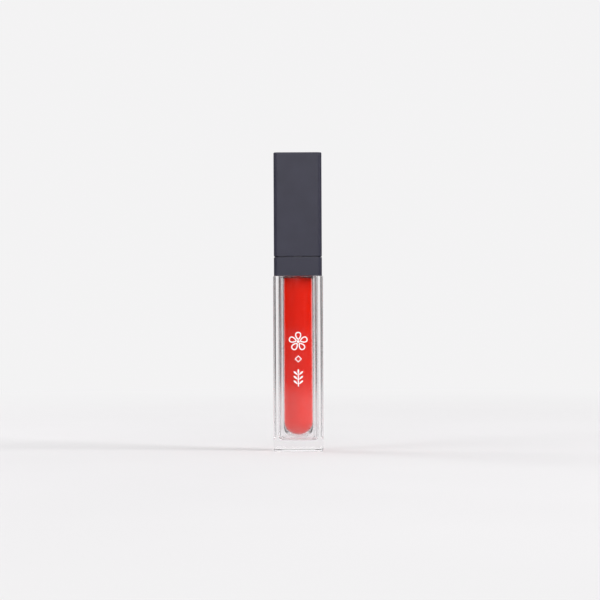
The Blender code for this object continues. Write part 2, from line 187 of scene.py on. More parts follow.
# Print: blossom, lozenge and sprig of leaves, from the top down. LEAF_TURN is the angle between a leaf
# and the stalk, in degrees.
PRINT_LIFT = 0.002 * MM
PRINT_THICKNESS = 0.015 * MM
PRINT_LINE = 0.42 * MM
BLOSSOM_CENTRE = (0.0, 42.0 * MM)
BLOSSOM_PETALS = 5
BLOSSOM_EYE = 0.5 * MM
PETAL_START = 0.9 * MM
PETAL_END = 3.5 * MM
PETAL_WIDTH = 2.5 * MM
PETAL_NARROWING = 0.45
LOZENGE_CENTRE = (0.0, 35.4 * MM)
LOZENGE_HALF = 1.15 * MM
SPRIG_LOW = 24.9 * MM
SPRIG_HIGH = 31.5 * MM
LEAF_PAIRS = 3
LEAF_FIRST = 0.7 * MM
LEAF_SPACING = 1.75 * MM
LEAF_START = 0.35 * MM
LEAF_LENGTH = 2.0 * MM
LEAF_WIDTH = 0.85 * MM
LEAF_TURN = 48

# Fineness. The points of a square loop stand close together in the corners, which an eye on the axis
# sees between two directions in degrees.
CORNER_FROM = 34
CORNER_TO = 56
SIDE_POINTS = 8
CORNER_POINTS = 20
ROUND_COUNT = 96
THIN_COUNT = 48
EDGE_STEPS = 5
CAP_EDGE_STEPS = 6
JACKET_EDGE_STEPS = 7
CAVITY_STEPS = 18
BOWL_STEPS = 22
NOSE_STEPS = 14
FLOCK_STEPS = 24
FILM_STEPS = 60
PETAL_STEPS = 26
RING_STEPS = 32
ON_RADIUS = 0.01 * MM
SHARP_ANGLE = math.radians(38)
NORMAL_WEIGHT = 80

# Ends of the stretch of a noise value that drives a surface
NOISE_LOW = 0.3
NOISE_HIGH = 0.7

# Studio: paper that turns into an even lit backdrop away from the tube
BACKDROP_COLOUR = (0.90, 0.895, 0.90, 1.0)
PAPER_COLOUR = (0.66, 0.655, 0.66)
PAPER_DARKER = (0.65, 0.645, 0.65)
PAPER_PALER = (0.67, 0.665, 0.67)
GLOW_FADE = (0.12, 0.62)
SWEEP_FRONT = -2.2
SWEEP_BACK = 0.75
SWEEP_RADIUS = 0.6
SWEEP_TOP = 2.4
SWEEP_HALF = 3.0
SWEEP_STEPS = 24

# Dark cards, which the camera doesn't see: one on the floor and some upright ones round the tube, each
# (heading from the back in degrees, width, whether it shows through clear plastic)
CARD_COLOUR = (0.03, 0.03, 0.032)
CARD_ROUGHNESS = 0.9
FLOOR_CARD_RADII = (0.02, 3.8)
FLOOR_CARD_FADE = (0.42, 0.85)
FLOOR_CARD_NEAR = 0.5
FLOOR_CARD_RISE = 0.0003
FLOOR_CARD_SWING = math.radians(110)
FLOOR_CARD_STEPS = 24
FLAGS = (
    (-113.0, 0.032, True),
    (-67.0, 0.032, True),
    (-27.0, 0.032, True),
    (27.0, 0.032, True),
    (108.0, 0.032, True),
    (-50.0, 0.11, False),
    (50.0, 0.11, False),
    (-120.0, 0.09, False),
    (120.0, 0.09, False),
)
FLAG_DISTANCE = 0.13
FLAG_HEIGHT = 0.26
FLAG_FADE = (-0.01, 0.055)

# Light from all round, by the parts of its direction: a window in front with a dark level band, dim
# sides and a soft top. Then the lamps, each (name, place, size, power).
WORLD_COLOUR = (1.0, 0.985, 1.0, 1.0)
WINDOW_EDGE = (-0.80, -0.93)
WINDOW_SIDE = (0.28, 0.5)
WINDOW_LIGHT = 3.9
SIDE_LIGHT = 0.18
BAND_HEIGHT = 0.02
BAND_EDGE = (0.07, 0.18)
BAND_LIGHT = 0.008
TOP_EDGE = (0.2, 0.8)
TOP_LIGHT = 0.5
LAMPS = (
    ("key_light", Vector((1.0, -0.38, 0.62)), 0.5, 10.0),
    ("left_light", Vector((-0.95, -0.62, 0.6)), 0.5, 4.5),
    ("fill_light", Vector((-0.9, 0.5, 0.7)), 0.6, 5.0),
)

# Camera: what it sees at the tube is FRAME_SIDE wide
CAMERA_DISTANCE = 0.9
FRAME_SIDE = 230.7 * MM
SENSOR = 36.0
AIM_SIDE = 0.75 * MM
AIM_RISE = 0.77 * MM
CAMERA_ROLL = math.radians(0.25)


def square_angles():
    """Directions of a loop's points, close together near the corners."""
    apart = CORNER_FROM / SIDE_POINTS
    close = (CORNER_TO - CORNER_FROM) / CORNER_POINTS
    quarter = [apart * step for step in range(SIDE_POINTS)]
    quarter += [CORNER_FROM + close * step for step in range(CORNER_POINTS)]
    quarter += [CORNER_TO + apart * step for step in range(SIDE_POINTS)]
    return [math.radians(90 * turn + angle) for turn in range(4) for angle in quarter]


def even_angles(count):
    return [math.tau * step / count for step in range(count)]


def reach(half, corner, angle):
    """Distance from the axis to the edge of a round-cornered square, in one direction."""
    fold = abs((angle + math.pi / 4) % (math.pi / 2) - math.pi / 4)
    straight = half - corner
    if half * math.tan(fold) <= straight:
        return half / math.cos(fold)
    across = corner**2 - straight**2 * (1 - math.sin(2 * fold))
    return straight * (math.cos(fold) + math.sin(fold)) + math.sqrt(max(across, 0.0))


def softened(points, steps=EDGE_STEPS, closed=False):
    """Path through (half, corner, height, rounding) points, with each rounding as a short curve."""
    path = []
    count = len(points)
    for index, (half, corner, height, rounding) in enumerate(points):
        here = Vector((half, corner, height))
        if rounding == 0 or (not closed and index in (0, count - 1)):
            path.append(tuple(here))
            continue
        before = Vector(points[index - 1][:3]) - here
        after = Vector(points[(index + 1) % count][:3]) - here
        start = here + before * min(rounding / before.length, ROUNDING_SHARE)
        end = here + after * min(rounding / after.length, ROUNDING_SHARE)
        for step in range(steps + 1):
            t = step / steps
            path.append(tuple(start * (1 - t) ** 2 + here * 2 * t * (1 - t) + end * t**2))
    return path


def placed(name, data):
    """New object in the scene."""
    thing = bpy.data.objects.new(name, data)
    bpy.context.scene.collection.objects.link(thing)
    return thing


def finish_mesh(name, bm, material):
    """Smooth-shaded object with its faces pointing out."""
    bmesh.ops.recalc_face_normals(bm, faces=bm.faces)
    mesh = bpy.data.meshes.new(name)
    bm.to_mesh(mesh)
    bm.free()
    mesh.shade_smooth()
    mesh.set_sharp_from_angle(angle=SHARP_ANGLE)
    mesh.materials.append(material)
    thing = placed(name, mesh)
    weighted = thing.modifiers.new("flat_sides", "WEIGHTED_NORMAL")
    weighted.keep_sharp = True
    weighted.weight = NORMAL_WEIGHT
    return thing


def lofted(name, path, material, angles, closed=False, swell=None, place=None):
    """Skin through the levels of a path. A closed path makes a ring, an open one gets flat ends."""
    bm = bmesh.new()
    loops = []
    for half, corner, height in path:
        loop = []
        for angle in angles:
            radius = reach(half, corner, angle)
            if swell:
                radius += swell(angle, half, height)
            point = Vector((radius * math.cos(angle), radius * math.sin(angle), height))
            loop.append(bm.verts.new(place(point) if place else point))
        loops.append(loop)
    pairs = list(zip(loops, loops[1:]))
    if closed:
        pairs.append((loops[-1], loops[0]))
    for low, high in pairs:
        for index in range(len(angles)):
            after = (index + 1) % len(angles)
            bm.faces.new((low[index], low[after], high[after], high[index]))
    if not closed:
        bm.faces.new(loops[0])
        bm.faces.new(loops[-1])
    return finish_mesh(name, bm, material)


def round_level(radius, height, rounding=0.0):
    """Point of a path where the section is a circle."""
    return (radius, radius, height, rounding)


def half_width(box):
    return (box[1].x - box[0].x) / 2


def bowl(radius, low, flat):
    """Levels of a round bottom from its flat foot up to the full radius."""
    dip = radius - math.sqrt(radius**2 - flat**2)
    centre = low + radius - dip
    start = math.asin(flat / radius)
    levels = []
    for step in range(BOWL_STEPS + 1):
        angle = start + (math.pi / 2 - start) * step / BOWL_STEPS
        out = radius * math.sin(angle)
        levels.append((out, out, centre - radius * math.cos(angle)))
    return levels


def thread_share(angle, height, start):
    """How much of the full ridge a screw thread has at a place, from 0 to 1."""
    best = 0.0
    for whole in range(math.ceil(THREAD_TURNS) + 1):
        travel = angle / math.tau + whole
        if travel > THREAD_TURNS:
            continue
        offset = abs(height - start - THREAD_LEAD * travel)
        flank = (THREAD_ROOT / 2 - offset) / (THREAD_ROOT / 2 - THREAD_CREST / 2)
        flank = min(max(flank, 0.0), 1.0)
        ends = min(travel, THREAD_TURNS - travel, THREAD_RUN_OUT) / THREAD_RUN_OUT
        best = max(best, flank * flank * (3 - 2 * flank) * ends)
    return best


def thread_levels(radius, start):
    """Fine levels over the height of a thread."""
    low = start - THREAD_ROOT
    high = start + THREAD_LEAD * THREAD_TURNS + THREAD_ROOT
    count = round((high - low) / THREAD_LEVEL_STEP)
    return [(radius, radius, low + (high - low) * step / count) for step in range(count + 1)]


# Shader nodes. A tree is the node tree of a material or of the world.


def smooth_ramp(tree, source, edges, values):
    """Smooth change between two values as the source passes between two edges."""
    ramp = tree.nodes.new("ShaderNodeMapRange")
    ramp.interpolation_type = "SMOOTHSTEP"
    ramp.inputs["From Min"].default_value = edges[0]
    ramp.inputs["From Max"].default_value = edges[1]
    ramp.inputs["To Min"].default_value = values[0]
    ramp.inputs["To Max"].default_value = values[1]
    tree.links.new(source, ramp.inputs["Value"])
    return ramp.outputs["Result"]


def calculated(tree, operation, *terms):
    """Output of a maths node whose terms are sockets or numbers."""
    node = tree.nodes.new("ShaderNodeMath")
    node.operation = operation
    for socket, term in zip(node.inputs, terms):
        if isinstance(term, float):
            socket.default_value = term
        else:
            tree.links.new(term, socket)
    return node.outputs["Value"]


def mixed(tree, share, first, second):
    """Shader that goes from the first one to the second as the share goes from 0 to 1."""
    mix = tree.nodes.new("ShaderNodeMixShader")
    tree.links.new(share, mix.inputs["Fac"])
    tree.links.new(first, mix.inputs[1])
    tree.links.new(second, mix.inputs[2])
    return mix.outputs["Shader"]


def shown(tree, output, shader):
    tree.links.new(shader, tree.nodes[output].inputs["Surface"])


def object_place(tree):
    return tree.nodes.new("ShaderNodeTexCoord").outputs["Object"]


# Materials


def new_material(name, colour, roughness):
    material = bpy.data.materials.new(name)
    material.use_nodes = True
    shader = material.node_tree.nodes["Principled BSDF"]
    shader.inputs["Base Color"].default_value = (*colour, 1.0)
    shader.inputs["Roughness"].default_value = roughness
    return material, shader


def noise_value(material, scale, detail=4.0, stretch=(1.0, 1.0, 1.0)):
    """Output of a noise texture over the object's own coordinates."""
    tree = material.node_tree
    mapping = tree.nodes.new("ShaderNodeMapping")
    mapping.inputs["Scale"].default_value = stretch
    tree.links.new(object_place(tree), mapping.inputs["Vector"])
    texture = tree.nodes.new("ShaderNodeTexNoise")
    texture.inputs["Scale"].default_value = scale
    texture.inputs["Detail"].default_value = detail
    tree.links.new(mapping.outputs["Vector"], texture.inputs["Vector"])
    return texture.outputs["Fac"]


def vary(material, socket, source, low, high):
    """Drives one value of a shader between low and high."""
    tree = material.node_tree
    span = tree.nodes.new("ShaderNodeMapRange")
    span.inputs["From Min"].default_value = NOISE_LOW
    span.inputs["From Max"].default_value = NOISE_HIGH
    span.inputs["To Min"].default_value = low
    span.inputs["To Max"].default_value = high
    tree.links.new(source, span.inputs["Value"])
    tree.links.new(span.outputs["Result"], socket)


def tint(material, shader, source, first, second):
    """Drives the base colour of a shader between two tones."""
    tree = material.node_tree
    ramp = tree.nodes.new("ShaderNodeValToRGB")
    ends = ramp.color_ramp.elements
    for end, position, colour in zip(ends, (NOISE_LOW, NOISE_HIGH), (first, second)):
        end.position = position
        end.color = (*colour, 1.0)
    tree.links.new(source, ramp.inputs["Fac"])
    tree.links.new(ramp.outputs["Color"], shader.inputs["Base Color"])


def bump(material, shader, layers):
    """Relief from layers of (source, strength, depth)."""
    tree = material.node_tree
    below = None
    for source, strength, depth in layers:
        relief = tree.nodes.new("ShaderNodeBump")
        relief.inputs["Strength"].default_value = strength
        relief.inputs["Distance"].default_value = depth
        tree.links.new(source, relief.inputs["Height"])
        if below:
            tree.links.new(below, relief.inputs["Normal"])
        below = relief.outputs["Normal"]
    tree.links.new(below, shader.inputs["Normal"])


def scattering(shader, weight, radius, scale):
    shader.inputs["Subsurface Weight"].default_value = weight
    shader.inputs["Subsurface Radius"].default_value = radius
    shader.inputs["Subsurface Scale"].default_value = scale


def lets_lamps_through(material, shader, colour):
    """Lets light for shadows and for matt surfaces pass straight through the clear plastic."""
    tree = material.node_tree
    path = tree.nodes.new("ShaderNodeLightPath")
    rays = (path.outputs["Is Shadow Ray"], path.outputs["Is Diffuse Ray"])
    through = tree.nodes.new("ShaderNodeBsdfTransparent")
    through.inputs["Color"].default_value = (*colour, 1.0)
    either = calculated(tree, "MAXIMUM", *rays)
    surface = mixed(tree, either, shader.outputs["BSDF"], through.outputs["BSDF"])
    shown(tree, "Material Output", surface)


def clear_plastic(name, colour, ior):
    material, shader = new_material(name, colour, roughness=0.02)
    shader.inputs["Transmission Weight"].default_value = 1.0
    shader.inputs["IOR"].default_value = ior
    smears = noise_value(material, scale=260.0, detail=5.0, stretch=(1.0, 1.0, 0.35))
    vary(material, shader.inputs["Roughness"], smears, low=0.006, high=0.028)
    flow = noise_value(material, scale=150.0, detail=2.0, stretch=(1.0, 1.0, 0.2))
    bump(material, shader, [(flow, 0.008, 0.1 * MM)])
    lets_lamps_through(material, shader, (0.94, 0.93, 0.935))
    return material


def gloss_material(name, darker, paler, specular):
    material, shader = new_material(name, darker, roughness=0.16)
    shader.inputs["Specular IOR Level"].default_value = specular
    swirl = noise_value(material, scale=95.0, detail=3.0, stretch=(1.0, 1.0, 0.3))
    tint(material, shader, swirl, darker, paler)
    spots = noise_value(material, scale=700.0)
    vary(material, shader.inputs["Roughness"], spots, low=0.10, high=0.22)
    scattering(shader, weight=0.12, radius=(1.0, 0.25, 0.15), scale=1.2 * MM)
    return material


def black_plastic(name):
    material, shader = new_material(name, (0.016, 0.016, 0.028), roughness=0.4)
    cloud = noise_value(material, scale=120.0)
    tint(material, shader, cloud, (0.018, 0.018, 0.034), (0.023, 0.023, 0.042))
    wear = noise_value(material, scale=900.0, detail=5.0)
    vary(material, shader.inputs["Roughness"], wear, low=0.33, high=0.40)
    grain = noise_value(material, scale=9000.0, detail=2.0)
    sink = noise_value(material, scale=70.0, detail=1.0)
    bump(material, shader, [(sink, 0.08, 0.2 * MM), (grain, 0.10, 0.01 * MM)])
    return material


def moulded_plastic(name, colour, roughness):
    """Uncoloured inner mouldings, slightly milky."""
    material, shader = new_material(name, colour, roughness)
    cloud = noise_value(material, scale=300.0)
    darker = tuple(value * 0.93 for value in colour)
    tint(material, shader, cloud, darker, colour)
    low, high = roughness - 0.05, roughness + 0.07
    vary(material, shader.inputs["Roughness"], noise_value(material, scale=1200.0), low, high)
    scattering(shader, weight=0.25, radius=(1.0, 0.95, 0.9), scale=0.8 * MM)
    bump(material, shader, [(noise_value(material, scale=2500.0), 0.12, 0.02 * MM)])
    return material


def foam_material(name):
    """Closed foam cells, painted darker as shade in the hollow middle of each cell, with paler raised
    walls between them.
    """
    material, shader = new_material(name, (0.84, 0.84, 0.82), roughness=0.8)
    tree = material.node_tree
    cells = tree.nodes.new("ShaderNodeTexVoronoi")
    cells.inputs["Scale"].default_value = 5000.0
    tree.links.new(object_place(tree), cells.inputs["Vector"])
    depth = cells.outputs["Distance"]
    # Painted shade: darker where each cell's relief dips, paler on the raised walls between the cells
    tint(material, shader, depth, (0.70, 0.70, 0.68), (0.88, 0.88, 0.86))
    bump(material, shader, [(depth, 0.5, 0.05 * MM)])
    return material


def flock_material(name):
    """Velvet of short fibres, soaked in gloss."""
    material, shader = new_material(name, (0.55, 0.05, 0.04), roughness=0.9)
    patches = noise_value(material, scale=1800.0, detail=5.0)
    tint(material, shader, patches, (0.40, 0.012, 0.010), (0.66, 0.050, 0.040))
    shader.inputs["Sheen Weight"].default_value = 0.4
    shader.inputs["Sheen Roughness"].default_value = 0.5
    shader.inputs["Coat Weight"].default_value = 0.25
    shader.inputs["Coat Roughness"].default_value = 0.3
    nap = noise_value(material, scale=6000.0, detail=3.0)
    bump(material, shader, [(nap, 0.7, 0.1 * MM)])
    return material


def ink_material(name):
    material, shader = new_material(name, (0.90, 0.88, 0.88), roughness=0.45)
    screen = noise_value(material, scale=2600.0, detail=5.0)
    tint(material, shader, screen, (0.82, 0.80, 0.80), (0.93, 0.91, 0.91))
    bump(material, shader, [(noise_value(material, scale=5000.0), 0.15, 0.01 * MM)])
    return material


CLEAR_JACKET = clear_plastic("clear_jacket", (0.985, 0.975, 0.98), 1.49)
CLEAR_VIAL = clear_plastic("clear_vial", (0.99, 0.985, 0.985), 1.52)
GLOSS_RED = gloss_material("gloss_red", (0.88, 0.013, 0.0015), (0.95, 0.018, 0.003), 0.25)
GLOSS_FILM = gloss_material("gloss_film", (0.52, 0.006, 0.002), (0.64, 0.014, 0.005), 0.5)
BLACK = black_plastic("satin_black")
NATURAL = moulded_plastic("natural_plastic", (0.80, 0.80, 0.78), 0.38)
WIPER_SOFT = moulded_plastic("wiper_plastic", (0.84, 0.84, 0.82), 0.34)
FOAM = foam_material("gasket_foam")
FIBRE = flock_material("flock_fibre")
INK = ink_material("white_ink")

SQUARE = square_angles()
ROUND = even_angles(ROUND_COUNT)
THIN = even_angles(THIN_COUNT)


def settle(thing, body, slot, *nodes):
    """Puts a finished piece on its body and hides the nodes that it stands for. Its slot is not used.
    """
    if nodes:
        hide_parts(*nodes)
    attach(thing, body)


# Clear parts and gloss


def build_jacket():
    """Square outer bottle with a round-cornered cavity and a shallow recess under its thick base."""
    half, low, high = half_width(JACKET), JACKET[0].z, JACKET[1].z
    inner = half - JACKET_WALL
    points = [
        (RECESS_HALF - 3 * RECESS_DEPTH, JACKET_CORNER, low + RECESS_DEPTH, 0),
        (RECESS_HALF - RECESS_DEPTH, JACKET_CORNER, low + RECESS_DEPTH, CRISP),
        (RECESS_HALF, JACKET_CORNER + RECESS_DEPTH, low, CRISP),
        (half, JACKET_CORNER, low, ROUNDEST),
        (half, JACKET_CORNER, high, MILD),
        (inner, CAVITY_CORNER, high, MILD),
        (inner, CAVITY_CORNER, low + JACKET_FLOOR + CAVITY_FLOOR_ROUND, 0),
    ]
    path = softened(points, JACKET_EDGE_STEPS)
    for step in range(1, CAVITY_STEPS + 1):
        angle = math.radians(90 * step / CAVITY_STEPS)
        inset = CAVITY_FLOOR_ROUND * (1 - math.cos(angle))
        drop = CAVITY_FLOOR_ROUND * (1 - math.sin(angle))
        path.append((inner - inset, CAVITY_CORNER, low + JACKET_FLOOR + drop))
    jacket = lofted("jacket", path, CLEAR_JACKET, SQUARE)
    settle(jacket, "bottle", "jacket_clear", "bottle_jacket")


def build_vial():
    """Round vial with a square plug and flange at the jacket's mouth and a threaded neck above."""
    low, top, shoulder = VIAL[0].z, VIAL[1].z, JACKET[1].z
    inner = VIAL_RADIUS - VIAL_WALL
    flange_low = shoulder + FLANGE_RISE
    flange_high = flange_low + FLANGE_THICKNESS
    path = bowl(VIAL_RADIUS, low, VIAL_FOOT_FLAT)
    path += softened(
        [
            round_level(VIAL_RADIUS, low + VIAL_RADIUS * VIAL_STRAIGHT_FROM),
            round_level(VIAL_RADIUS, shoulder - PLUG_DEPTH, SOFT),
            (PLUG_HALF, PLUG_CORNER, shoulder - PLUG_DEPTH, SOFT),
            (PLUG_HALF, PLUG_CORNER, flange_low, CRISP),
            (half_width(VIAL), FLANGE_CORNER, flange_low, CRISP),
            (half_width(VIAL), FLANGE_CORNER, flange_high, SOFT),
            round_level(NECK_RADIUS, flange_high, BLUNT),
            round_level(NECK_RADIUS, flange_high + NECK_FOOT),
        ]
    )
    path += thread_levels(NECK_RADIUS, THREAD_START)
    path += softened(
        [
            round_level(NECK_RADIUS, top - NECK_MOUTH),
            round_level(NECK_RADIUS, top, BLUNT),
            round_level(NECK_BORE, top, SOFT),
            round_level(NECK_BORE, CONE_START + CONE_HEIGHT, FULL),
            round_level(inner, CONE_START, FULL),
            round_level(inner, low + VIAL_BASE + inner * INNER_STRAIGHT_FROM),
        ]
    )
    path += reversed(bowl(inner, low + VIAL_BASE, INNER_FOOT_FLAT))

    def swell(angle, half, height):
        if abs(half - NECK_RADIUS) > ON_RADIUS:
            return 0.0
        return THREAD_RISE * thread_share(angle, height, THREAD_START)

    vial = lofted("vial", path, CLEAR_VIAL, SQUARE, swell=swell)
    settle(vial, "bottle", "vial_clear", "inner_vial")


def build_gloss():
    """Fill with a round bottom, a dished top and the channel of the wand."""
    radius = VIAL_RADIUS - VIAL_WALL - GLOSS_FILM_GAP
    low = VIAL[0].z + VIAL_BASE + GLOSS_FOOT_GAP
    top = GLOSS[1].z
    narrowing = (VIAL_RADIUS - VIAL_WALL - NECK_BORE) * (top - CONE_START) / CONE_HEIGHT
    path = bowl(radius, low, INNER_FOOT_FLAT)
    path += softened(
        [
            round_level(radius, low + radius * INNER_STRAIGHT_FROM),
            round_level(radius, CONE_START, FULL),
            round_level(radius - narrowing, top, CRISP),
            round_level(radius - narrowing - MENISCUS_WIDTH, top - MENISCUS_DEPTH, SOFT),
            round_level(CHANNEL_RADIUS + CHANNEL_FLARE, top - MENISCUS_DEPTH, SOFT),
            round_level(CHANNEL_RADIUS, top - CHANNEL_FLARE_DEPTH, BLUNT),
            round_level(CHANNEL_RADIUS, FLOCK[0].z + CHANNEL_RADIUS * CHANNEL_FOOT_SHARE, ROUNDEST),
            round_level(CHANNEL_END_RADIUS, FLOCK[0].z - CHANNEL_END_DROP),
        ]
    )
    gloss = lofted("gloss", path, GLOSS_RED, ROUND)
    settle(gloss, "bottle", "gloss_red", "lip_gloss")


def build_wiper():
    """Plug with a flange on the neck's mouth and a cone down to the lip that wipes the wand."""
    low, high = WIPER[0].z, WIPER[1].z
    points = [
        round_level(WIPER_LIP, low, CRISP),
        round_level(WIPER_LIP + WIPER_LIP_WALL, low, CRISP),
        round_level(WIPER_BODY, low + WIPER_CONE, WIDE),
        round_level(WIPER_BODY, high - WIPER_FLANGE, CRISP),
        round_level(half_width(WIPER), high - WIPER_FLANGE, EASED),
        round_level(half_width(WIPER), high, MILD),
        round_level(WIPER_MOUTH, high, BLUNT),
        round_level(WIPER_MOUTH, low + WIPER_CONE, WIDE),
    ]
    wiper = lofted("wiper_plug", softened(points, closed=True), WIPER_SOFT, ROUND, closed=True)
    settle(wiper, "bottle", "wiper_plastic", "wiper")


# Black parts


def build_collar():
    half, low, high = half_width(COLLAR), JACKET[1].z + COLLAR_REST, COLLAR[1].z
    inner, bead = half - COLLAR_WALL, half - COLLAR_BEAD_INSET
    points = [
        (half, BLACK_CORNER, low, SOFT),
        (half, BLACK_CORNER, high, SOFT),
        (bead, BLACK_CORNER, high, SHARP),
        (bead, BLACK_CORNER, high + COLLAR_BEAD_RISE, CRISP),
        round_level(COLLAR_HOLE, high + COLLAR_BEAD_RISE, EASED),
        round_level(COLLAR_HOLE, high - COLLAR_WEB, CRISP),
        (inner, BLACK_CORNER, high - COLLAR_WEB, SOFT),
        (inner, BLACK_CORNER, low, CRISP),
    ]
    collar = lofted("collar_band", softened(points, closed=True), BLACK, SQUARE, closed=True)
    settle(collar, "bottle", "satin_black", "collar")


def build_cap():
    half, low, high = half_width(SHELL), SHELL[0].z, SHELL[1].z
    inner = half - CAP_WALL
    points = [
        (half - 3 * CAP_TOP_ROUND, BLACK_CORNER, high, 0),
        (half, BLACK_CORNER, high, CAP_TOP_ROUND),
        (half, BLACK_CORNER, low, SOFT),
        (inner, CAP_INNER_CORNER, low, EASED),
        (inner, CAP_INNER_CORNER, high - CAP_ROOF, BLUNT),
        (inner - CAP_CEILING_INSET, CAP_INNER_CORNER, high - CAP_ROOF, 0),
    ]
    shell = lofted("cap_outer", softened(points, CAP_EDGE_STEPS), BLACK, SQUARE)
    settle(shell, "cap", "satin_black", "cap_shell")


# Pieces inside the cap


def dress_insert():
    """The inner cap keeps its own shape and only gets its finish."""
    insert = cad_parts["cap_insert"]
    insert.data.materials.clear()
    insert.data.materials.append(NATURAL)


def build_gasket():
    low, high = GASKET[0].z, GASKET[1].z
    inner = STEM_RADIUS + PIECE_GAP
    points = [
        round_level(inner, low, CRISP),
        round_level(half_width(GASKET), low, EASED),
        round_level(half_width(GASKET), high, EASED),
        round_level(inner, high, CRISP),
    ]
    gasket = lofted("gasket_ring", softened(points, closed=True), FOAM, ROUND, closed=True)
    settle(gasket, "gasket", "gasket_foam", "cap_gasket")


# Wand


def build_stem():
    """Rod with a head at the top and a socket for the applicator's spigot in its lower end."""
    low, high = STEM[0].z, STEM[1].z
    points = [
        round_level(STEM_SOCKET_END, low + STEM_SOCKET_DEPTH),
        round_level(STEM_SOCKET, low + STEM_SOCKET_DEPTH, CRISP),
        round_level(STEM_SOCKET, low, SHARP),
        round_level(STEM_RADIUS, low, EASED),
        round_level(STEM_RADIUS, high - STEM_HEAD, CRISP),
        round_level(half_width(STEM), high - STEM_HEAD, CRISP),
        round_level(half_width(STEM), high, SOFT),
        round_level(STEM_RADIUS, high),
    ]
    stem = lofted("stem", softened(points), NATURAL, THIN)
    settle(stem, "stem", "natural_plastic", "wand_stem")


def on_slant(point):
    """Presses a point of the applicator behind its slanted front face."""
    rise = point.z - FLOCK[0].z
    limit = SLANT_DEPTH - half_width(FLOCK) - rise * SLANT_DEPTH / SLANT_HEIGHT
    return Vector((point.x, max(point.y, limit), point.z))


def nose(radius, low):
    """Levels of the applicator's rounded end."""
    levels = []
    for step in range(1, NOSE_STEPS + 1):
        angle = math.radians(90 * step / NOSE_STEPS)
        out = radius * math.sin(angle)
        levels.append((out, out, low + radius * NOSE_STRETCH * (1 - math.cos(angle))))
    return levels


def straight(radius, low, high, steps):
    return [(radius, radius, low + (high - low) * step / steps) for step in range(1, steps + 1)]


def build_flock():
    """Flocked sleeve with the slant of a doe foot."""
    low, high, radius = FLOCK[0].z, FLOCK[1].z, half_width(FLOCK)
    hollow = radius - FLOCK_THICKNESS
    path = nose(radius, low)
    path += straight(radius, low + radius * NOSE_STRETCH, high - FLOCK_SIDE_END, FLOCK_STEPS)
    path += softened(
        [
            round_level(radius, high - FLOCK_LIP),
            round_level(radius, high, MILD),
            round_level(hollow, high, CRISP),
            round_level(hollow, high - FLOCK_LIP),
        ]
    )
    flock = lofted("flock", path, FIBRE, THIN, place=on_slant)
    settle(flock, "cap", "flock_fibre", "applicator_flock")
    return flock


def build_core():
    """What shows of the tip's core between sleeve and stem, with its spigot in the stem."""
    radius = half_width(FLOCK) - FLOCK_THICKNESS - CORE_GAP
    low, high = FLOCK[1].z - CORE_IN_SLEEVE, CORE[1].z
    flange_low, flange_high = FLOCK[1].z + PIECE_GAP, STEM[0].z - PIECE_GAP
    points = [
        round_level(radius * CORE_END_SHARE, low),
        round_level(radius, low + CORE_TAPER, SOFT),
        round_level(radius, flange_low, CRISP),
        round_level(STEM_RADIUS, flange_low, CORE_EDGE),
        round_level(STEM_RADIUS, flange_high, CORE_EDGE),
        round_level(SPIGOT_RADIUS, flange_high, CRISP),
        round_level(SPIGOT_RADIUS, high, CRISP),
        round_level(SPIGOT_RADIUS * CORE_END_SHARE, high),
    ]
    core = lofted("core", softened(points), NATURAL, THIN)
    settle(core, "cap", "natural_plastic", "applicator_core")


def spread(chance, count):
    """Random shares that sum to one."""
    shares = [chance.random() + FIBRE_LEAST_SHARE for _ in range(count)]
    total = sum(shares)
    return [share / total for share in shares]


def build_fibres(flock):
    """Short pointed fibres that stand up all over the flocked sleeve."""
    chance = random.Random(FIBRE_SEED)
    mesh = flock.data
    faces = [face for face in mesh.polygons if face.area < FIBRE_FACE_LIMIT]
    weights = [face.area for face in faces]
    bm = bmesh.new()
    for face in chance.choices(faces, weights=weights, k=FIBRE_COUNT):
        corners = [mesh.vertices[index].co for index in face.vertices]
        spot = sum((c * w for c, w in zip(corners, spread(chance, len(corners)))), Vector())
        lean = Vector([chance.uniform(-FIBRE_LEAN, FIBRE_LEAN) for _ in range(3)])
        out = (face.normal + lean).normalized()
        tip = spot + out * chance.uniform(*FIBRE_LENGTH)
        side = out.orthogonal().normalized() * FIBRE_WIDTH
        base = [
            bm.verts.new(spot - out * FIBRE_WIDTH + Matrix.Rotation(turn, 3, out) @ side)
            for turn in (0.0, math.tau / 3, 2 * math.tau / 3)
        ]
        end = bm.verts.new(tip)
        bm.faces.new(base)
        for first, second in zip(base, base[1:] + base[:1]):
            bm.faces.new((first, second, end))
    fibres = finish_mesh("flock_fibres", bm, FIBRE)
    settle(fibres, "cap", "flock_fibre")


def build_film():
    """Thin uneven coat of gloss that clings to the lower part of the stem."""
    low = STEM[0].z + FILM_START
    heights = [low + (FILM_TOP - low) * step / FILM_STEPS for step in range(FILM_STEPS + 1)]
    back = STEM_RADIUS - FILM_BACK
    outer = [(STEM_RADIUS, STEM_RADIUS, height) for height in heights]
    inner = [(back, back, height) for height in heights]

    def swell(angle, half, height):
        if half < STEM_RADIUS - ON_RADIUS:
            return 0.0
        past = max((height - low) / (FILM_TOP - low) - FILM_THINS_FROM, 0.0)
        across = (math.cos(angle) * FILM_WAVES_ROUND, math.sin(angle) * FILM_WAVES_ROUND)
        wave = 0.5 + 0.5 * noise.noise(Vector((*across, height / FILM_WAVE_HEIGHT)))
        return FILM_THICKNESS * (FILM_LEAST + wave) - FILM_THICKNESS * past * FILM_THINS_BY

    path = outer + inner[::-1]
    film = lofted("stem_film", path, GLOSS_FILM, THIN, closed=True, swell=swell)
    settle(film, "stem", "gloss_red")


# White print on the front


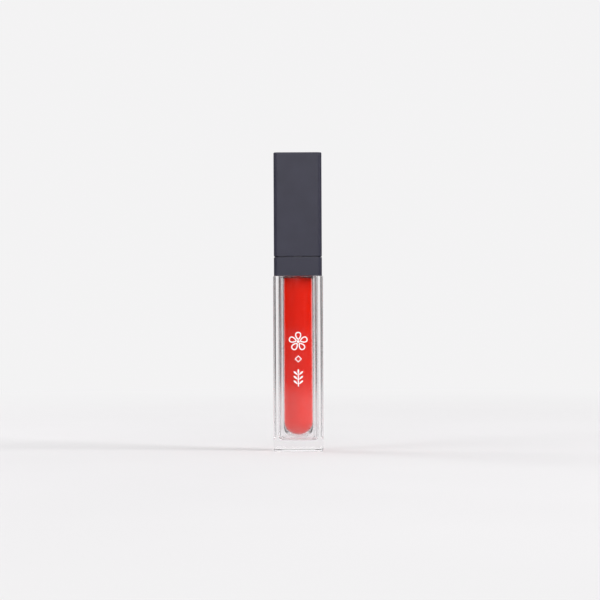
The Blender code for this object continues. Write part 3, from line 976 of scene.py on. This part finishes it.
def stroke(bm, points, width, closed=False):
    """Adds a flat inked line through (x, z) points on the jacket's front."""
    front = JACKET[0].y - PRINT_LIFT
    count = len(points)
    sections = []
    for index, (x, z) in enumerate(points):
        if closed:
            before, after = points[index - 1], points[(index + 1) % count]
        else:
            before, after = points[max(index - 1, 0)], points[min(index + 1, count - 1)]
        along = Vector((after[0] - before[0], after[1] - before[1])).normalized()
        side = Vector((-along.y, along.x)) * width / 2
        section = []
        for sign, depth in ((1, 0), (1, PRINT_THICKNESS), (-1, PRINT_THICKNESS), (-1, 0)):
            place = (x + side.x * sign, front - depth, z + side.y * sign)
            section.append(bm.verts.new(place))
        sections.append(section)
    pairs = list(zip(sections, sections[1:]))
    if closed:
        pairs.append((sections[-1], sections[0]))
    for here, there in pairs:
        for index in range(4):
            after = (index + 1) % 4
            bm.faces.new((here[index], here[after], there[after], there[index]))
    if not closed:
        bm.faces.new(sections[0])
        bm.faces.new(sections[-1])


def filled(bm, points):
    """Adds a filled flat shape on the jacket's front."""
    front = JACKET[0].y - PRINT_LIFT
    back = [bm.verts.new((x, front, z)) for x, z in points]
    face = [bm.verts.new((x, front - PRINT_THICKNESS, z)) for x, z in points]
    bm.faces.new(back)
    bm.faces.new(face)
    for index in range(len(points)):
        after = (index + 1) % len(points)
        bm.faces.new((back[index], back[after], face[after], face[index]))


def ring(centre, radius):
    """Circle of (x, z) points."""
    points = []
    for step in range(RING_STEPS):
        turn = math.tau * step / RING_STEPS
        points.append((centre[0] + radius * math.cos(turn), centre[1] + radius * math.sin(turn)))
    return points


def petal(centre, turn, start, end, width):
    """Closed teardrop that points away from a centre."""
    points = []
    for step in range(PETAL_STEPS):
        t = math.tau * step / PETAL_STEPS
        share = (1 - math.cos(t)) / 2
        along = start + (end - start) * share
        across = width / 2 * math.sin(t) * (PETAL_NARROWING + (1 - PETAL_NARROWING) * share)
        x = along * math.cos(turn) - across * math.sin(turn)
        z = along * math.sin(turn) + across * math.cos(turn)
        points.append((centre[0] + x, centre[1] + z))
    return points


def print_blossom(bm):
    for index in range(BLOSSOM_PETALS):
        turn = math.radians(90 + 360 / BLOSSOM_PETALS * index)
        shape = petal(BLOSSOM_CENTRE, turn, PETAL_START, PETAL_END, PETAL_WIDTH)
        stroke(bm, shape, PRINT_LINE, closed=True)
    filled(bm, ring(BLOSSOM_CENTRE, BLOSSOM_EYE))


def print_lozenge(bm):
    x, z = LOZENGE_CENTRE
    sides = ((1, 0), (0, 1), (-1, 0), (0, -1))
    corners = [(x + LOZENGE_HALF * right, z + LOZENGE_HALF * up) for right, up in sides]
    stroke(bm, corners, PRINT_LINE, closed=True)


def print_sprig(bm):
    top = (0.0, SPRIG_HIGH - LEAF_LENGTH)
    stroke(bm, [(0.0, SPRIG_LOW), top], PRINT_LINE)
    for index in range(LEAF_PAIRS):
        foot = (0.0, SPRIG_LOW + LEAF_FIRST + LEAF_SPACING * index)
        for side in (-1, 1):
            turn = math.radians(90 - side * LEAF_TURN)
            filled(bm, petal(foot, turn, LEAF_START, LEAF_LENGTH + LEAF_START, LEAF_WIDTH))
    filled(bm, petal(top, math.radians(90), 0.0, LEAF_LENGTH, LEAF_WIDTH))


def build_print():
    """A small five-petal blossom over a lozenge and a sprig of leaves."""
    bm = bmesh.new()
    print_blossom(bm)
    print_lozenge(bm)
    print_sprig(bm)
    print_piece = finish_mesh("front_print", bm, INK)
    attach(print_piece, "bottle")


build_jacket()
build_vial()
build_gloss()
build_wiper()
build_collar()
build_cap()
dress_insert()
build_gasket()
build_stem()
sleeve = build_flock()
build_core()
build_fibres(sleeve)
build_film()
build_print()


# Studio


def distance_away(tree):
    away = tree.nodes.new("ShaderNodeVectorMath")
    away.operation = "LENGTH"
    tree.links.new(object_place(tree), away.inputs[0])
    return away.outputs["Value"]


def height_above(tree):
    split = tree.nodes.new("ShaderNodeSeparateXYZ")
    tree.links.new(object_place(tree), split.inputs["Vector"])
    return split.outputs["Z"]


def card_material(name, source, edges, start):
    """Dark card that lets light through and turns solid by a share that runs from start to 1."""
    material, shader = new_material(name, CARD_COLOUR, CARD_ROUGHNESS)
    tree = material.node_tree
    through = tree.nodes.new("ShaderNodeBsdfTransparent")
    share = smooth_ramp(tree, source(tree), edges, (start, 1.0))
    surface = mixed(tree, share, through.outputs["BSDF"], shader.outputs["BSDF"])
    shown(tree, "Material Output", surface)
    return material


def paper_material():
    """Pale paper near the tube, which fades into the lit backdrop."""
    material, shader = new_material("studio_paper", PAPER_COLOUR, roughness=0.85)
    cloud = noise_value(material, scale=6.0, detail=2.0)
    tint(material, shader, cloud, PAPER_DARKER, PAPER_PALER)
    tree = material.node_tree
    glow = tree.nodes.new("ShaderNodeEmission")
    glow.inputs["Color"].default_value = BACKDROP_COLOUR
    share = smooth_ramp(tree, distance_away(tree), GLOW_FADE, (0.0, 1.0))
    surface = mixed(tree, share, shader.outputs["BSDF"], glow.outputs["Emission"])
    shown(tree, "Material Output", surface)
    return material


def build_floor():
    """Pale floor that sweeps up into a wall far behind the tube."""
    profile = [(SWEEP_FRONT, 0.0), (0.0, 0.0)]
    for step in range(SWEEP_STEPS + 1):
        angle = math.radians(90 * step / SWEEP_STEPS)
        y = SWEEP_BACK + SWEEP_RADIUS * math.sin(angle)
        profile.append((y, SWEEP_RADIUS * (1 - math.cos(angle))))
    profile.append((SWEEP_BACK + SWEEP_RADIUS, SWEEP_TOP))
    points = [(x, y, z) for y, z in profile for x in (-SWEEP_HALF, SWEEP_HALF)]
    faces = [(i, i + 1, i + 3, i + 2) for i in range(0, len(points) - 2, 2)]
    mesh = bpy.data.meshes.new("studio_sweep")
    mesh.from_pydata(points, [], faces)
    mesh.shade_smooth()
    mesh.materials.append(paper_material())
    floor = placed("studio_sweep", mesh)


def hide_card(card):
    """The camera and soft light pass a card by, so that only clear and shiny surfaces show it."""
    card.visible_camera = False
    card.visible_diffuse = False
    card.visible_shadow = False


def build_flags():
    """Dark upright cards all round, which draw the edges of the clear and the black plastic."""
    material = card_material("studio_flag", height_above, FLAG_FADE, 0.0)
    for index, (heading, width, seen_through) in enumerate(FLAGS):
        turn = math.radians(heading)
        out = Vector((math.sin(turn), math.cos(turn), 0.0))
        side = Vector((out.y, -out.x, 0.0)) * width / 2
        foot = out * FLAG_DISTANCE
        rise = Vector((0.0, 0.0, FLAG_HEIGHT))
        corners = (foot - side, foot + side, foot + side + rise, foot - side + rise)
        mesh = bpy.data.meshes.new(f"studio_flag_{index}")
        mesh.from_pydata([tuple(corner) for corner in corners], [], [(0, 1, 2, 3)])
        mesh.materials.append(material)
        flag = placed(f"studio_flag_{index}", mesh)
        hide_card(flag)
        flag.visible_transmission = seen_through


def build_floor_card():
    """Dark fan on the floor in front, which keeps glare off the upper part of the bottle."""
    points = []
    for radius in FLOOR_CARD_RADII:
        for step in range(FLOOR_CARD_STEPS + 1):
            swing = FLOOR_CARD_SWING * (2 * step / FLOOR_CARD_STEPS - 1)
            points.append((radius * math.sin(swing), -radius * math.cos(swing), FLOOR_CARD_RISE))
    count = FLOOR_CARD_STEPS + 1
    faces = [(i, i + count, i + count + 1, i + 1) for i in range(FLOOR_CARD_STEPS)]
    mesh = bpy.data.meshes.new("studio_floor_card")
    mesh.from_pydata(points, [], faces)
    mesh.materials.append(
        card_material("studio_grey", distance_away, FLOOR_CARD_FADE, FLOOR_CARD_NEAR)
    )
    card = placed("studio_floor_card", mesh)
    hide_card(card)


def build_world():
    """Soft light by direction. The camera itself sees the even backdrop."""
    world = bpy.data.worlds.new("studio_world")
    world.use_nodes = True
    bpy.context.scene.world = world
    tree = world.node_tree
    nodes = tree.nodes
    nodes.clear()
    output = nodes.new("ShaderNodeOutputWorld")
    place = nodes.new("ShaderNodeTexCoord")
    split = nodes.new("ShaderNodeSeparateXYZ")
    tree.links.new(place.outputs["Generated"], split.inputs["Vector"])
    right, back, up = split.outputs
    front = smooth_ramp(tree, back, WINDOW_EDGE, (0.0, WINDOW_LIGHT))
    strip = smooth_ramp(tree, calculated(tree, "ABSOLUTE", right), WINDOW_SIDE, (1.0, 0.0))
    window = calculated(tree, "MULTIPLY_ADD", front, strip, SIDE_LIGHT)
    off_band = calculated(tree, "ABSOLUTE", calculated(tree, "SUBTRACT", up, BAND_HEIGHT))
    shade = smooth_ramp(tree, off_band, BAND_EDGE, (BAND_LIGHT, 1.0))
    dimmed = calculated(tree, "MULTIPLY", window, shade)
    top = smooth_ramp(tree, up, TOP_EDGE, (0.0, TOP_LIGHT))
    lit = nodes.new("ShaderNodeBackground")
    lit.inputs["Color"].default_value = WORLD_COLOUR
    tree.links.new(calculated(tree, "ADD", dimmed, top), lit.inputs["Strength"])
    seen = nodes.new("ShaderNodeBackground")
    seen.inputs["Color"].default_value = BACKDROP_COLOUR
    camera_ray = nodes.new("ShaderNodeLightPath").outputs["Is Camera Ray"]
    surface = mixed(tree, camera_ray, lit.outputs["Background"], seen.outputs["Background"])
    shown(tree, output.name, surface)


def build_lamp(name, place, size, power):
    """Square soft lamp that faces the middle of the tube."""
    light = bpy.data.lights.new(name, "AREA")
    light.shape = "SQUARE"
    light.size = size
    light.energy = power
    lamp = placed(name, light)
    lamp.location = place
    target = (JACKET[0] + SHELL[1]) / 2
    lamp.rotation_mode = "QUATERNION"
    lamp.rotation_quaternion = (target - place).to_track_quat("-Z", "Y")


def build_camera():
    """Level camera straight in front, as far off as the tube's faint perspective asks."""
    data = bpy.data.cameras.new("camera")
    data.sensor_width = SENSOR
    data.lens = SENSOR * CAMERA_DISTANCE / FRAME_SIDE
    camera = placed("camera", data)
    height = (JACKET[0].z + SHELL[1].z) / 2 + AIM_RISE
    camera.location = (AIM_SIDE, -CAMERA_DISTANCE, height)
    level = Matrix.Rotation(math.radians(90), 3, "X")
    roll = Matrix.Rotation(-CAMERA_ROLL, 3, "Z")
    camera.rotation_mode = "QUATERNION"
    camera.rotation_quaternion = (level @ roll).to_quaternion()
    bpy.context.scene.camera = camera


build_floor()
build_flags()
build_floor_card()
build_world()
for lamp in LAMPS:
    build_lamp(*lamp)
build_camera()

scene = bpy.context.scene
scene.view_settings.view_transform = "Standard"
scene.cycles.max_bounces = 24
scene.cycles.transmission_bounces = 20
scene.cycles.glossy_bounces = 8
scene.cycles.transparent_max_bounces = 24
